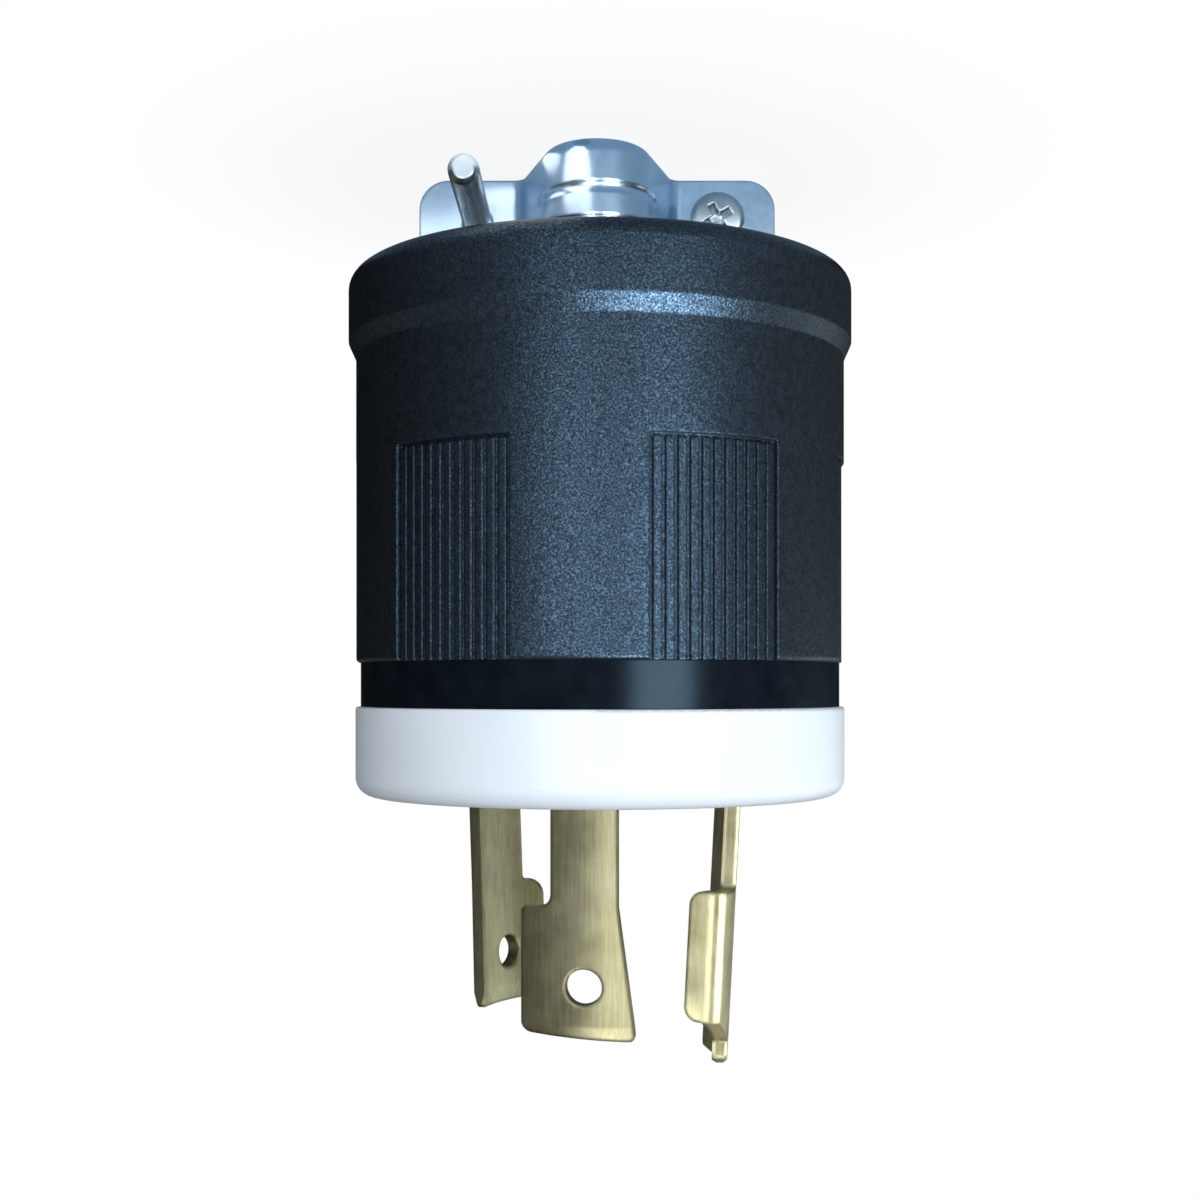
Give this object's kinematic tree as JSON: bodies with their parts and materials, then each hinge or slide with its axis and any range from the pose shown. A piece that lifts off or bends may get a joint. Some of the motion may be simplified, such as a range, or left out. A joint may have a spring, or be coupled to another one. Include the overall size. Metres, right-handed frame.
{
  "type": "twist lock plug",
  "caption": "Round locking power plug with curved brass blades, a hooked ground blade, a white face, a black ribbed shell and a metal cord clamp.",
  "frame": {"origin": "on the plug's axis, in the plane that the cord clamp stands on", "axes": "+Z from the cord clamp towards the blade tips, +Y towards the side of the line blade, +X towards the ground blade"},
  "size_m": [0.052, 0.052, 0.0915],
  "materials": {
    "shell_plastic": "matte black nylon with a fine moulded grain",
    "carrier_plastic": "gloss black thermoset",
    "face_plastic": "smooth white nylon with a soft sheen",
    "blade_brass": "satin brass, lightly brushed, muted",
    "terminal_brass": "plain brass",
    "nickel_screw": "nickel-plated steel",
    "green_screw": "green-coated steel",
    "shield_rubber": "matte black rubber",
    "zinc_steel": "bright zinc-plated sheet steel, bluish",
    "zinc_screw": "bright zinc-plated steel"
  },
  "bodies": {
    "root": {"housing_shell": "shell_plastic", "contact_carrier": "carrier_plastic", "front_face": "face_plastic", "line_blade": "blade_brass", "neutral_blade": "blade_brass", "ground_blade": "blade_brass", "line_terminal_plate": "terminal_brass", "neutral_terminal_plate": "terminal_brass", "ground_terminal_plate": "terminal_brass", "line_terminal_screw": "terminal_brass", "neutral_terminal_screw": "nickel_screw", "ground_terminal_screw": "green_screw", "dust_shield": "shield_rubber", "assembly_screw_1": "nickel_screw", "assembly_screw_2": "nickel_screw", "assembly_screw_3": "nickel_screw", "clamp_saddle_front": "zinc_steel", "clamp_saddle_rear": "zinc_steel", "clamp_screw_right": "zinc_screw", "clamp_screw_left": "zinc_screw"}
  },
  "joints": []
}
